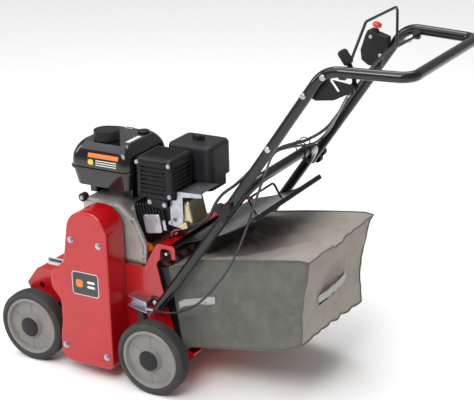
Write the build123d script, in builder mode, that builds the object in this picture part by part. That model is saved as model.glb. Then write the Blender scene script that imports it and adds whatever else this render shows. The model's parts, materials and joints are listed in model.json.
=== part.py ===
from build123d import *
import os
from math import atan2, cos, hypot, radians, sin

os.makedirs("parts", exist_ok=True)

# ---------------------------------------------------------------- driving dimensions, mm
# +X is the operator's end, -Y the belt side, +Z up; the floor is z = 0.
WHEEL_R, TYRE_W = 100.0, 45.0
RIM_R, HUB_R, AXLE_R = 81.0, 28.0, 8.0
REAR_AXLE_X, FRONT_AXLE_X = -92.0, -494.0
REAR_FACE_Y, FRONT_FACE_Y = 300.0, 273.0

DECK_HALF, SHEET = 209.0, 3.0
DECK_IN = DECK_HALF - SHEET
DECK_TOP_Z, ENGINE_BED_Z = 248.0, 306.0

CRANK_X, CRANK_Z = -272.0, 412.0
ROTOR_X, ROTOR_Z = -292.0, 100.0
KNIFE_R, KNIFE_COUNT, KNIFE_PITCH = 85.0, 18, 20.0
COVER_FACE_Y, COVER_WALL = -291.0, 2.0
BACKPLATE_Y = -211.5
BELT_Y, BELT_W, BELT_T = -252.0, 10.0, 8.0
ENGINE_PULLEY_R, ROTOR_PULLEY_R = 26.0, 40.0
IDLER_X, IDLER_Z, IDLER_R = -346.0, 218.0, 15.0
ARM_PIVOT_X, ARM_PIVOT_Z = -372.0, 268.0

TUBE_R, TUBE_WALL = 13.0, 2.0
FOLD_X, FOLD_Z = 120.0, 528.0
LOWER_LEG_Y, LOWER_TOP_Y, UPPER_LEG_Y = 224.0, 206.0, 234.0
LEG_FOOT_X, LEG_FOOT_Z = -101.0, 220.0
CROSS_X, CROSS_Z = 159.0, 584.0
BEND_X, BEND_Z = 381.0, 903.0
GRIP_X, GRIP_Z, GRIP_HALF = 581.0, 900.0, 205.0

BAIL_X, BAIL_Z, BAIL_ROD_R = 418.0, 889.0, 3.5
LEVER_X, LEVER_Z = 432.0, 866.0

HINGE_X, HINGE_Z, HINGE_R = -86.0, 362.0, 4.0
FLAP_REAR_X, FLAP_REAR_Z, FLAP_HALF = 160.0, 487.0, 180.0

SWING_X, SWING_Z = -430.0, 150.0
DEPTH_X, DEPTH_Z = -165.0, 150.0
LINK_RISE = 40.0

FIT = 0.05          # radial running clearance of a pin in its bore
GAP = 0.4           # clearance between faces of parts that move


def side_plane(y, x=0.0, z=0.0):
    """Sketch plane seen from the belt side: local x is +X, local y is +Z, normal is -Y."""
    return Plane(origin=(x, y, z), x_dir=(1, 0, 0), z_dir=(0, -1, 0))


def turned_plane(x, z):
    """Half-section plane of a part turned about a Y axis: local x is +Y, local y is +Z."""
    return Plane(origin=(x, 0, z), x_dir=(0, 1, 0), z_dir=(1, 0, 0))


def y_axis(x, z):
    return Axis((x, 0, z), (0, 1, 0))


def rounded_outline(*corners):
    """Closed outline through (x, z, corner radius) triples."""
    FilletPolyline(*[(x, z) for x, z, _ in corners], radius=[r for *_, r in corners], close=True)


# ---------------------------------------------------------------- wheels
def tyre_section(face, side):
    inner = face - TYRE_W
    Polyline((side * inner, RIM_R - 2), (side * (inner + 1), WHEEL_R - 9),
             (side * (inner + 6), WHEEL_R - 1.5), (side * (inner + TYRE_W / 2), WHEEL_R),
             (side * (face - 6), WHEEL_R - 1.5), (side * (face - 1), WHEEL_R - 9),
             (side * face, RIM_R + 4), (side * (face - 3), RIM_R), (side * (face - 8), RIM_R),
             (side * (face - 10), RIM_R - 2), (side * inner, RIM_R - 2))


def rim_section(face, side):
    dish = face - 11
    inner = face - TYRE_W + 2
    Polyline((side * inner, AXLE_R + FIT), (side * inner, HUB_R - 6), (side * (dish - 10), HUB_R - 4),
             (side * (dish - 5), RIM_R - 16), (side * inner, RIM_R - 12), (side * inner, RIM_R - 2.4),
             (side * (face - 10), RIM_R - 2.4), (side * (face - 8), RIM_R - 0.4),
             (side * (face - 3.2), RIM_R - 0.4), (side * (face - 1), RIM_R - 3),
             (side * (face - 1), RIM_R - 8), (side * (face - 4), RIM_R - 10),
             (side * dish, RIM_R - 13), (side * (dish + 1), HUB_R + 6), (side * (face - 3), HUB_R + 2),
             (side * (face + 1), HUB_R), (side * (face + 1), AXLE_R + FIT), (side * inner, AXLE_R + FIT))


WHEELS = (("front_left", FRONT_AXLE_X, FRONT_FACE_Y, -1), ("front_right", FRONT_AXLE_X, FRONT_FACE_Y, 1),
          ("rear_left", REAR_AXLE_X, REAR_FACE_Y, -1), ("rear_right", REAR_AXLE_X, REAR_FACE_Y, 1))
GROOVES, GROOVE_W, GROOVE_DEEP = 4, 2.4, 2.2
SPOKES = 6

for corner, axle_x, face, side in WHEELS:
    with BuildPart() as tyre:
        with BuildSketch(turned_plane(axle_x, WHEEL_R)):
            with BuildLine():
                tyre_section(face, side)
            make_face()
            with Locations(*[(side * (face - TYRE_W * (n + 1) / (GROOVES + 1)), WHEEL_R)
                             for n in range(GROOVES)]):
                Rectangle(GROOVE_W, 2 * GROOVE_DEEP, mode=Mode.SUBTRACT)
        revolve(axis=y_axis(axle_x, WHEEL_R))
    tyre.part.label = f"tyre_{corner}"
    export_step(tyre.part, f"parts/tyre_{corner}.step")

    with BuildPart() as rim:
        with BuildSketch(turned_plane(axle_x, WHEEL_R)):
            with BuildLine():
                rim_section(face, side)
            make_face()
        revolve(axis=y_axis(axle_x, WHEEL_R))
        with BuildSketch(side_plane(side * (face - 12), axle_x, WHEEL_R)):
            with PolarLocations((RIM_R - 12 + HUB_R + 4) / 2, SPOKES, start_angle=30):
                Rectangle(RIM_R - HUB_R - 14, 2.0)
        extrude(amount=-side * 2.4)
    rim.part.label = f"rim_{corner}"
    export_step(rim.part, f"parts/rim_{corner}.step")

# ---------------------------------------------------------------- rear axle
with BuildPart() as rear_axle:
    with BuildSketch(side_plane(REAR_FACE_Y - 2, REAR_AXLE_X, WHEEL_R)):
        Circle(AXLE_R)
    extrude(amount=2 * (REAR_FACE_Y - 2))
    for side in (-1, 1):
        with BuildSketch(side_plane(side * (REAR_FACE_Y - TYRE_W + 1.5), REAR_AXLE_X, WHEEL_R)):
            Circle(AXLE_R + 4)
        extrude(amount=side * (REAR_FACE_Y - TYRE_W - DECK_HALF + 1.5))
rear_axle.part.label = "rear_axle"
export_step(rear_axle.part, "parts/rear_axle.step")

# ---------------------------------------------------------------- deck
NOSE_X, NOSE_Z = -542.0, 200.0
ARM_FRONT_X, ARM_TOP_Z = -152.0, 388.0
PLATE_TOP_Z = ENGINE_BED_Z + 9
DECK_BOTTOM_Z = 36.0


def plate_outline():
    rounded_outline((NOSE_X, NOSE_Z, 6), (-504, DECK_TOP_Z + 2, 8), (-386, DECK_TOP_Z + 2, 6),
                    (-376, PLATE_TOP_Z, 8), (ARM_FRONT_X, PLATE_TOP_Z, 12), (-112, ARM_TOP_Z, 16),
                    (-58, ARM_TOP_Z, 10), (-56, 352, 4), (-67, 352, 4), (-70, 377, 10), (-101, 377, 10),
                    (-103, 350, 12), (-115, 330, 8), (-93, 236, 10), (-58, 112, 12), (-12, 97, 3),
                    (-12, 88, 3), (-66, DECK_BOTTOM_Z, 16), (-440, DECK_BOTTOM_Z, 16), (-466, 62, 6))


def side_plate(side):
    with BuildPart() as plate:
        with BuildSketch(side_plane(-DECK_IN)):
            with BuildLine():
                plate_outline()
            make_face()
            with Locations((ROTOR_X, ROTOR_Z)):
                Circle(14.0, mode=Mode.SUBTRACT)
            with Locations((REAR_AXLE_X, WHEEL_R)):
                Circle(AXLE_R, mode=Mode.SUBTRACT)
            with Locations((SWING_X, SWING_Z), (DEPTH_X, DEPTH_Z)):
                Circle(7.0 + FIT, mode=Mode.SUBTRACT)
            with Locations((NOSE_X + 50, NOSE_Z)):
                Circle(8.0, mode=Mode.SUBTRACT)
        extrude(amount=SHEET)
    return plate.part if side < 0 else mirror(plate.part, about=Plane.XZ)


side_plate_left = side_plate(-1)
side_plate_left.label = "side_plate_left"
export_step(side_plate_left, "parts/side_plate_left.step")
side_plate_right = side_plate(1)
side_plate_right.label = "side_plate_right"
export_step(side_plate_right, "parts/side_plate_right.step")

with BuildPart() as deck_housing:
    with BuildSketch(side_plane(DECK_IN)):
        with BuildLine() as folded:
            FilletPolyline((-457, 66), (NOSE_X + 4, NOSE_Z), (-503, DECK_TOP_Z - 1.5),
                           (-384, DECK_TOP_Z - 1.5), (-372, ENGINE_BED_Z - 1.5),
                           (ARM_FRONT_X - 6, ENGINE_BED_Z - 1.5), (-110, ARM_TOP_Z - 5),
                           (-78, ARM_TOP_Z - 3), radius=4)
        trace(folded.line, line_width=SHEET)
    extrude(amount=2 * DECK_IN)
    with Locations((CRANK_X - 80, -150, ENGINE_BED_Z - 1.5), (CRANK_X + 82, -150, ENGINE_BED_Z - 1.5),
                   (CRANK_X - 80, -75, ENGINE_BED_Z - 1.5), (CRANK_X + 82, -75, ENGINE_BED_Z - 1.5)):
        Hole(4.2, depth=6)
deck_housing.part.label = "deck_housing"
export_step(deck_housing.part, "parts/deck_housing.step")

with BuildPart() as rear_skirt:
    with BuildSketch(side_plane(DECK_IN)):
        with BuildLine() as skirt_line:
            FilletPolyline((-150, 46), (-66, 42), (-16, 88), (-14, 93), radius=2)
        trace(skirt_line.line, line_width=SHEET)
    extrude(amount=2 * DECK_IN)
rear_skirt.part.label = "rear_skirt"
export_step(rear_skirt.part, "parts/rear_skirt.step")

# ---------------------------------------------------------------- belt drive cover
COVER_BOLTS = ((-322, 392), (-235, 388), (-360, 84), (-229, 75))


def cover_outline():
    rounded_outline((-328, 473, 57), (-211, 473, 57), (-211, 38, 18), (-376, 38, 34), (-376, 110, 60),
                    (-369, 150, 60), (-369, 214, 24), (-396, 244, 20), (-396, 290, 24), (-353, 322, 40))


with BuildPart() as belt_cover:
    with BuildSketch(side_plane(BACKPLATE_Y)):
        with BuildLine():
            cover_outline()
        make_face()
    extrude(amount=BACKPLATE_Y - COVER_FACE_Y)
    fillet(belt_cover.faces().sort_by(Axis.Y)[0].edges(), 5)
    offset(amount=-COVER_WALL, openings=belt_cover.faces().sort_by(Axis.Y)[-1])
    with Locations(*[Plane(origin=(x, COVER_FACE_Y, z), z_dir=(0, -1, 0)) for x, z in COVER_BOLTS]):
        Hole(3.3, depth=5)
belt_cover.part.label = "belt_cover"
export_step(belt_cover.part, "parts/belt_cover.step")

with BuildPart() as belt_backplate:
    with BuildSketch(side_plane(-DECK_HALF)):
        with BuildLine():
            cover_outline()
        make_face()
        with Locations((ROTOR_X, ROTOR_Z)):
            Circle(30.0, mode=Mode.SUBTRACT)
        with Locations((CRANK_X, CRANK_Z)):
            Circle(24.0, mode=Mode.SUBTRACT)
    extrude(amount=-DECK_HALF - BACKPLATE_Y)
    for x, z in COVER_BOLTS:
        with BuildSketch(side_plane(BACKPLATE_Y, x, z)):
            Circle(4.0)
        extrude(amount=BACKPLATE_Y - COVER_FACE_Y - COVER_WALL)
    with BuildSketch(side_plane(BACKPLATE_Y, ARM_PIVOT_X, ARM_PIVOT_Z)):
        Circle(5.0)
    extrude(amount=30)
belt_backplate.part.label = "belt_backplate"
export_step(belt_backplate.part, "parts/belt_backplate.step")

# ---------------------------------------------------------------- fasteners on the chassis
BED_BOLTS = [(CRANK_X + dx, y) for dx in (-80, 82) for y in (-150, -75)]


def bolt_head(radius, height):
    RegularPolygon(radius, 6)
    extrude(amount=height)


with BuildPart() as chassis_bolts:
    for x, z in COVER_BOLTS:
        with BuildSketch(side_plane(COVER_FACE_Y, x, z)):
            Circle(9.0)
        extrude(amount=1.6)
        with BuildSketch(side_plane(COVER_FACE_Y - 1.6, x, z)):
            RegularPolygon(6.0, 6)
        extrude(amount=4.4)
    for x, y in BED_BOLTS:
        with BuildSketch(Plane(origin=(x, y, ENGINE_BED_Z + 12))):
            RegularPolygon(7.0, 6)
        extrude(amount=6)
        with BuildSketch(Plane(origin=(x, y, ENGINE_BED_Z + 12))):
            Circle(4.0)
        extrude(amount=-24)
    for x, z, y in ((-120, 224, -212), (-120, 224, 212), (-152, 215, -212)):
        with BuildSketch(side_plane(y, x, z)):
            RegularPolygon(7.0, 6)
        extrude(amount=5 if y < 0 else -5)
chassis_bolts.part.label = "chassis_bolts"
export_step(chassis_bolts.part, "parts/chassis_bolts.step")

# ---------------------------------------------------------------- rotor
with BuildPart() as rotor_bearings:
    for side in (-1, 1):
        with BuildSketch(side_plane(side * DECK_IN, ROTOR_X, ROTOR_Z)):
            Circle(29.0)
            Circle(12.5 + FIT, mode=Mode.SUBTRACT)
        extrude(amount=side * 14)
rotor_bearings.part.label = "rotor_bearings"
export_step(rotor_bearings.part, "parts/rotor_bearings.step")


def groove_section(pitch_r, bore_r, half_w=10.0):
    """Half-section of a V pulley on the belt line."""
    Polyline(*[(BELT_Y + y, r) for y, r in (
        (-half_w, bore_r), (half_w, bore_r), (half_w, pitch_r + 5), (BELT_W / 2 + 1, pitch_r + 5),
        (BELT_W / 2 - 1, pitch_r - 5), (1 - BELT_W / 2, pitch_r - 5), (-1 - BELT_W / 2, pitch_r + 5),
        (-half_w, pitch_r + 5))], close=True)


with BuildPart() as rotor_shaft:
    with BuildSketch(side_plane(DECK_HALF + 8, ROTOR_X, ROTOR_Z)):
        Circle(12.5)
    extrude(amount=DECK_HALF + 8 - COVER_FACE_Y - 18)
    for side in (-1, 1):
        with BuildSketch(side_plane(side * 186.0, ROTOR_X, ROTOR_Z)):
            Circle(20.0)
        extrude(amount=-side * 4)
    with BuildSketch(turned_plane(ROTOR_X, ROTOR_Z)):
        with BuildLine():
            groove_section(ROTOR_PULLEY_R, 10.0)
        make_face()
    revolve(axis=y_axis(ROTOR_X, ROTOR_Z))
rotor_shaft.part.label = "rotor_shaft"
export_step(rotor_shaft.part, "parts/rotor_shaft.step")

with BuildPart() as rotor_knives:
    for n in range(KNIFE_COUNT):
        y = (n - (KNIFE_COUNT - 1) / 2) * KNIFE_PITCH
        turn = radians(20.0 * n)
        with BuildSketch(Plane(origin=(ROTOR_X, y + 1.25, ROTOR_Z), x_dir=(cos(turn), 0, sin(turn)),
                               z_dir=(0, -1, 0))):
            with BuildLine():
                Polyline((-24, -16), (24, -16), (KNIFE_R, 2), (KNIFE_R - 4, 12), (24, 16),
                         (-24, 16), (-KNIFE_R, -2), (4 - KNIFE_R, -12), close=True)
            make_face()
            Circle(12.5, mode=Mode.SUBTRACT)
        extrude(amount=2.5)
rotor_knives.part.label = "rotor_knives"
export_step(rotor_knives.part, "parts/rotor_knives.step")

# ---------------------------------------------------------------- crankshaft and belt
with BuildPart() as crankshaft:
    with BuildSketch(side_plane(20.0, CRANK_X, CRANK_Z)):
        Circle(10.0)
    extrude(amount=20.0 - COVER_FACE_Y - 20)
    with BuildSketch(side_plane(18.0, CRANK_X, CRANK_Z)):
        Circle(78.0)
    extrude(amount=14.0)
    with BuildSketch(side_plane(30.0, CRANK_X, CRANK_Z)):
        Circle(40.0)
    extrude(amount=12.0)
    with BuildSketch(side_plane(28.0, CRANK_X, CRANK_Z)):
        with PolarLocations(62, 18):
            Rectangle(22, 3)
    extrude(amount=10.0)
crankshaft.part.label = "crankshaft"
export_step(crankshaft.part, "parts/crankshaft.step")

with BuildPart() as engine_pulley:
    with BuildSketch(turned_plane(CRANK_X, CRANK_Z)):
        with BuildLine():
            groove_section(ENGINE_PULLEY_R, 10.0)
        make_face()
    revolve(axis=y_axis(CRANK_X, CRANK_Z))
engine_pulley.part.label = "engine_pulley"
export_step(engine_pulley.part, "parts/engine_pulley.step")

with BuildPart() as drive_belt:
    with BuildSketch(side_plane(BELT_Y + BELT_W / 2 - 1.6)):
        with Locations((CRANK_X, CRANK_Z)):
            Circle(ENGINE_PULLEY_R + BELT_T / 2)
        with Locations((ROTOR_X, ROTOR_Z)):
            Circle(ROTOR_PULLEY_R + BELT_T / 2)
        make_hull()
        offset(amount=-BELT_T, mode=Mode.SUBTRACT)
    extrude(amount=BELT_W - 3.2)
drive_belt.part.label = "drive_belt"
export_step(drive_belt.part, "parts/drive_belt.step")

# ---------------------------------------------------------------- belt tensioner
with BuildPart() as tensioner_arm:
    with BuildSketch(side_plane(-236.0)):
        with Locations((ARM_PIVOT_X, ARM_PIVOT_Z)):
            Circle(11.0)
        with Locations((IDLER_X, IDLER_Z)):
            Circle(9.0)
        make_hull()
        with Locations((ARM_PIVOT_X, ARM_PIVOT_Z)):
            Circle(5.0 + FIT, mode=Mode.SUBTRACT)
    extrude(amount=4.0)
    with BuildSketch(side_plane(-236.0, IDLER_X, IDLER_Z)):
        Circle(5.0)
    extrude(amount=24.0)
tensioner_arm.part.label = "tensioner_arm"
export_step(tensioner_arm.part, "parts/tensioner_arm.step")

with BuildPart() as idler_pulley:
    with BuildSketch(side_plane(BELT_Y + 8, IDLER_X, IDLER_Z)):
        Circle(IDLER_R)
        Circle(5.0 + FIT, mode=Mode.SUBTRACT)
    extrude(amount=16.0)
    with BuildSketch(side_plane(BELT_Y + 8, IDLER_X, IDLER_Z)):
        Circle(IDLER_R + 2.5)
        Circle(IDLER_R - 2, mode=Mode.SUBTRACT)
    extrude(amount=2.0)
idler_pulley.part.label = "idler_pulley"
export_step(idler_pulley.part, "parts/idler_pulley.step")

# ---------------------------------------------------------------- front axle and depth setting
ARM_Y = 212.0
with BuildPart() as front_axle:
    with BuildSketch(side_plane(ARM_Y + 7, SWING_X, SWING_Z)):
        Circle(7.0)
    extrude(amount=2 * (ARM_Y + 7))
    for side in (-1, 1):
        with BuildSketch(side_plane(side * ARM_Y)):
            with Locations((SWING_X, SWING_Z)):
                Circle(14.0)
            with Locations((FRONT_AXLE_X, WHEEL_R)):
                Circle(14.0)
            make_hull()
        extrude(amount=-side * 7)
        with BuildSketch(side_plane(side * ARM_Y, FRONT_AXLE_X, WHEEL_R)):
            Circle(AXLE_R)
        extrude(amount=-side * (FRONT_FACE_Y - 2 - ARM_Y))
        with BuildSketch(side_plane(side * ARM_Y, FRONT_AXLE_X, WHEEL_R)):
            Circle(AXLE_R + 4)
        extrude(amount=-side * (FRONT_FACE_Y - TYRE_W + 1.5 - ARM_Y))
    with BuildSketch(side_plane(-187.0)):
        with Locations((SWING_X, SWING_Z)):
            Circle(12.0)
        with Locations((SWING_X, SWING_Z + LINK_RISE)):
            Circle(9.0)
        make_hull()
    extrude(amount=5)
    with BuildSketch(side_plane(-192.0, SWING_X, SWING_Z + LINK_RISE)):
        Circle(4.0)
    extrude(amount=9)
front_axle.part.label = "front_axle"
export_step(front_axle.part, "parts/front_axle.step")

with BuildPart() as depth_arm:
    with BuildSketch(side_plane(-187.0, DEPTH_X, DEPTH_Z)):
        Circle(7.0)
    extrude(amount=32)
    for start, top in ((-187.0, LINK_RISE), (-214.0, 34.0)):
        with BuildSketch(side_plane(start)):
            with Locations((DEPTH_X, DEPTH_Z)):
                Circle(12.0)
            with Locations((DEPTH_X, DEPTH_Z + top)):
                Circle(8.0)
            make_hull()
        extrude(amount=5)
    with BuildSketch(side_plane(-192.0, DEPTH_X, DEPTH_Z + LINK_RISE)):
        Circle(4.0)
    extrude(amount=9)
depth_arm.part.label = "depth_arm"
export_step(depth_arm.part, "parts/depth_arm.step")

with BuildPart() as depth_link:
    with BuildSketch(side_plane(-194.5)):
        with Locations((SWING_X, SWING_Z + LINK_RISE), (DEPTH_X, DEPTH_Z + LINK_RISE)):
            Circle(8.0)
        make_hull()
        with Locations((DEPTH_X, DEPTH_Z + LINK_RISE)):
            Circle(4.0 + FIT, mode=Mode.SUBTRACT)
        with Locations((SWING_X, SWING_Z + LINK_RISE)):
            Circle(4.0 + GAP, mode=Mode.SUBTRACT)
    extrude(amount=4)
depth_link.part.label = "depth_link"
export_step(depth_link.part, "parts/depth_link.step")

CHANNEL_Y, CABLE_Z = -232.0, 206.0
with BuildPart() as depth_channel:
    with BuildSketch(side_plane(-DECK_HALF)):
        with BuildLine():
            Polyline((-196, 208), (-192, 237), (-137, 227), (-137, 196), close=True)
        make_face()
    extrude(amount=3)
    with BuildSketch(side_plane(-DECK_HALF)):
        with BuildLine():
            Polyline((-192.3, 235), (-192, 237), (-137, 227), (-137, 196), (-196, 208), (-195.8, 210),
                     (-139, 198.3), (-139, 225.3), close=True)
        make_face()
    extrude(amount=-DECK_HALF - CHANNEL_Y)
    with BuildSketch(Plane(origin=(-142, -226, CABLE_Z), z_dir=(1, 0, 0))):
        Circle(5.0)
        Circle(3.2, mode=Mode.SUBTRACT)
    extrude(amount=24)
depth_channel.part.label = "depth_channel"
export_step(depth_channel.part, "parts/depth_channel.step")

# ---------------------------------------------------------------- lower handle
LEG_DX, LEG_DZ = CROSS_X - LEG_FOOT_X, CROSS_Z - LEG_FOOT_Z
LEG_RUN = hypot(LEG_DX, LEG_DZ)
leg_plane = Plane(origin=(CROSS_X, 0, CROSS_Z), x_dir=(0, 1, 0),
                  z_dir=(LEG_DZ / LEG_RUN, 0, -LEG_DX / LEG_RUN))

with BuildPart() as lower_handle:
    with BuildLine(leg_plane) as lower_path:
        FilletPolyline((-LOWER_LEG_Y, -LEG_RUN), (-203, 0), (203, 0), (LOWER_LEG_Y, -LEG_RUN), radius=90)
    with BuildSketch(Plane(origin=lower_path.line @ 0, z_dir=lower_path.line % 0)):
        Circle(TUBE_R)
        Circle(TUBE_R - TUBE_WALL, mode=Mode.SUBTRACT)
    sweep(path=lower_path.line)
    for side in (-1, 1):
        with BuildSketch(side_plane(side * DECK_HALF)):
            with BuildLine():
                rounded_outline((-135, 239, 3), (-96, 236, 8), (-72, 246, 6), (-76, 222, 6), (-92, 213, 6),
                                (-135, 213, 3))
            make_face()
        extrude(amount=-side * 3)
        with BuildSketch(side_plane(side * DECK_HALF, -92, 228)):
            Circle(7.0)
        extrude(amount=-side * 6)
        with Locations(Location((FOLD_X, side * LOWER_TOP_Y, FOLD_Z), (90, 0, 0))):
            Cylinder(4.0 + FIT, 60, mode=Mode.SUBTRACT)
lower_handle.part.label = "lower_handle"
export_step(lower_handle.part, "parts/lower_handle.step")

# ---------------------------------------------------------------- upper handle
FOOT_RUN = 20.0
leg_slope = atan2(BEND_Z - FOLD_Z, BEND_X - FOLD_X)
FOOT = (FOLD_X - FOOT_RUN * cos(leg_slope), FOLD_Z - FOOT_RUN * sin(leg_slope))
TAB_Y, TAB_W = 211.5, 7.0
SCREW_HOLES = ((333, 841), (383, 890), (239, 700))

with BuildPart() as upper_handlebar:
    with BuildLine() as upper_path:
        FilletPolyline((FOOT[0], -UPPER_LEG_Y, FOOT[1]), (BEND_X, -UPPER_LEG_Y, BEND_Z),
                       (GRIP_X, -GRIP_HALF, GRIP_Z), (GRIP_X, GRIP_HALF, GRIP_Z),
                       (BEND_X, UPPER_LEG_Y, BEND_Z), (FOOT[0], UPPER_LEG_Y, FOOT[1]),
                       radius=[70, 38, 38, 70])
    with BuildSketch(Plane(origin=upper_path.line @ 0, z_dir=upper_path.line % 0)):
        Circle(TUBE_R)
        Circle(TUBE_R - TUBE_WALL, mode=Mode.SUBTRACT)
    sweep(path=upper_path.line)
    for side in (-1, 1):
        with BuildSketch(side_plane(side * TAB_Y, BAIL_X, BAIL_Z)):
            with Locations((0, 5)):
                RectangleRounded(20, 26, 5)
            Circle(BAIL_ROD_R + FIT, mode=Mode.SUBTRACT)
        extrude(amount=-side * TAB_W)
        with Locations(Location((FOLD_X, side * UPPER_LEG_Y, FOLD_Z), (90, 0, 0))):
            Cylinder(4.0 + FIT, 60, mode=Mode.SUBTRACT)
upper_handlebar.part.label = "upper_handlebar"
export_step(upper_handlebar.part, "parts/upper_handlebar.step")

with BuildPart() as handlebar_bolts:
    for x, z in SCREW_HOLES:
        with BuildSketch(side_plane(-UPPER_LEG_Y - TUBE_R, x, z)):
            Circle(7.5)
        extrude(amount=4.5)
        fillet(handlebar_bolts.faces().sort_by(Axis.Y)[0].outer_wire().edges(), 2.5)
    for x, z in ((327, 834), (300, 880)):
        with BuildSketch(side_plane(UPPER_LEG_Y - TUBE_R - 23.5, x, z)):
            Circle(5.0)
        extrude(amount=3)
handlebar_bolts.part.label = "handlebar_bolts"
export_step(handlebar_bolts.part, "parts/handlebar_bolts.step")


def wing_knob(side):
    with BuildPart() as knob:
        with BuildSketch(side_plane(-UPPER_LEG_Y - TUBE_R - 0.4, FOLD_X, FOLD_Z)):
            Circle(14.0)
            with PolarLocations(13.5, 3, start_angle=30):
                Circle(12.5)
        extrude(amount=17)
        fillet(knob.edges().group_by(Axis.Y)[0], 4)
        with BuildSketch(side_plane(-182.5, FOLD_X, FOLD_Z)):
            Circle(4.0)
        extrude(amount=66)
        with BuildSketch(side_plane(-182.5, FOLD_X, FOLD_Z)):
            RegularPolygon(7.5, 6)
        extrude(amount=5.5)
    return knob.part if side < 0 else mirror(knob.part, about=Plane.XZ)


wing_knob_left = wing_knob(-1)
wing_knob_left.label = "wing_knob_left"
export_step(wing_knob_left, "parts/wing_knob_left.step")
wing_knob_right = wing_knob(1)
wing_knob_right.label = "wing_knob_right"
export_step(wing_knob_right, "parts/wing_knob_right.step")

# ---------------------------------------------------------------- controls
PLATE_Y = -UPPER_LEG_Y + TUBE_R
with BuildPart() as quadrant_plate:
    with BuildSketch(side_plane(PLATE_Y)):
        with BuildLine():
            rounded_outline((324, 838, 4), (368, 883, 4), (452, 872, 8), (448, 858, 8), (398, 832, 8),
                            (352, 826, 6))
        make_face()
        with Locations(Location((400, 867, 0), (0, 0, -52))):
            SlotOverall(34, 7, mode=Mode.SUBTRACT)
    extrude(amount=-3)
    with BuildSketch(side_plane(PLATE_Y + 3, LEVER_X + 10, LEVER_Z)):
        Circle(4.0)
    extrude(amount=-16.1)
quadrant_plate.part.label = "quadrant_plate"
export_step(quadrant_plate.part, "parts/quadrant_plate.step")

LEVER_PIVOT_X = LEVER_X + 10
with BuildPart() as depth_lever:
    with BuildSketch(side_plane(-202.0)):
        with BuildLine() as lever_line:
            Polyline((LEVER_PIVOT_X - 8, LEVER_Z - 18), (LEVER_PIVOT_X, LEVER_Z), (LEVER_PIVOT_X - 2, 892),
                     (LEVER_PIVOT_X - 12, 914), (LEVER_PIVOT_X - 30, 940))
        trace(lever_line.line, line_width=10)
        with Locations((LEVER_PIVOT_X, LEVER_Z)):
            Circle(10.0)
            Circle(4.0 + FIT, mode=Mode.SUBTRACT)
    extrude(amount=3.5)
    with BuildSketch(side_plane(-196.0)):
        with Locations(Location((LEVER_PIVOT_X - 23, 931, 0), (0, 0, 125))):
            RectangleRounded(38, 22, 8)
    extrude(amount=15)
    grip_faces = (depth_lever.faces().sort_by(Axis.Y)[0], depth_lever.faces().sort_by(Axis.Y)[-1])
    fillet([edge for grip_face in grip_faces for edge in grip_face.edges()], 3)
depth_lever.part.label = "depth_lever"
export_step(depth_lever.part, "parts/depth_lever.step")

with BuildPart() as control_bail:
    with BuildLine() as bail_path:
        FilletPolyline((BAIL_X, -216, BAIL_Z), (BAIL_X, -202, BAIL_Z), (BAIL_X, -92, BAIL_Z + 100),
                       (BAIL_X, 90, BAIL_Z + 100), (BAIL_X, 90, BAIL_Z), (BAIL_X, 216, BAIL_Z),
                       radius=[10, 14, 14, 10])
    with BuildSketch(Plane(origin=bail_path.line @ 0, z_dir=bail_path.line % 0)):
        Circle(BAIL_ROD_R)
    sweep(path=bail_path.line)
control_bail.part.label = "control_bail"
export_step(control_bail.part, "parts/control_bail.step")

BUTTON_TILT = 17.8
with BuildPart() as switch_box:
    with BuildSketch(side_plane(UPPER_LEG_Y - TUBE_R)):
        with BuildLine():
            rounded_outline((291, 898, 6), (347, 880, 6), (326, 800, 6), (292, 804, 6), (273, 817, 6),
                            (270, 842, 6), (283, 882, 6))
        make_face()
    extrude(amount=23.5)
    fillet(switch_box.faces().sort_by(Axis.Y)[0].edges(), 3)
    with Locations(Location((304.6, 209.2, 885.4), (0, BUTTON_TILT, 0))):
        with Locations((0, 0, 9)):
            Cylinder(8.5, 10)
    with Locations(Location((304.6, 209.2, 885.4), (0, BUTTON_TILT, 0))):
        Cylinder(3.2, 40, mode=Mode.SUBTRACT)
switch_box.part.label = "switch_box"
export_step(switch_box.part, "parts/switch_box.step")

with BuildPart() as stop_button:
    with Locations(Location((304.6, 209.2, 885.4), (0, BUTTON_TILT, 0))):
        with Locations((0, 0, 7.5)):
            Cylinder(3.0, 29)
        with Locations((0, 0, 26)):
            Cylinder(12.0, 9)
    fillet(stop_button.edges().filter_by(GeomType.CIRCLE).sort_by(Axis.Z)[-1], 4)
stop_button.part.label = "stop_button"
export_step(stop_button.part, "parts/stop_button.step")

# ---------------------------------------------------------------- discharge flap
with BuildPart() as flap_hinge_rod:
    with BuildSketch(side_plane(DECK_IN, HINGE_X, HINGE_Z)):
        Circle(HINGE_R)
    extrude(amount=2 * DECK_IN)
flap_hinge_rod.part.label = "flap_hinge_rod"
export_step(flap_hinge_rod.part, "parts/flap_hinge_rod.step")

with BuildPart() as discharge_flap:
    with BuildSketch(side_plane(FLAP_HALF)):
        with BuildLine() as flap_profile:
            Spline((HINGE_X + 9, HINGE_Z + 8), (-48, 390), (10, 409), (66, 431), (118, 459),
                   (FLAP_REAR_X - 4, FLAP_REAR_Z - 3))
        trace(flap_profile.line, line_width=2.4)
        with Locations((HINGE_X, HINGE_Z)):
            Circle(HINGE_R + 9)
            Circle(HINGE_R + FIT, mode=Mode.SUBTRACT)
        with Locations(Location((FLAP_REAR_X, FLAP_REAR_Z, 0), (0, 0, 32))):
            RectangleRounded(14, 13, 3)
    extrude(amount=2 * FLAP_HALF)
discharge_flap.part.label = "discharge_flap"
export_step(discharge_flap.part, "parts/discharge_flap.step")

with BuildPart() as flap_handle:
    with BuildLine() as wire_path:
        FilletPolyline((152, -154, 492), (130, -154, 530), (130, -20, 530), (152, -20, 492), radius=9)
    with BuildSketch(Plane(origin=wire_path.line @ 0, z_dir=wire_path.line % 0)):
        Circle(3.0)
    sweep(path=wire_path.line)
flap_handle.part.label = "flap_handle"
export_step(flap_handle.part, "parts/flap_handle.step")

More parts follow.
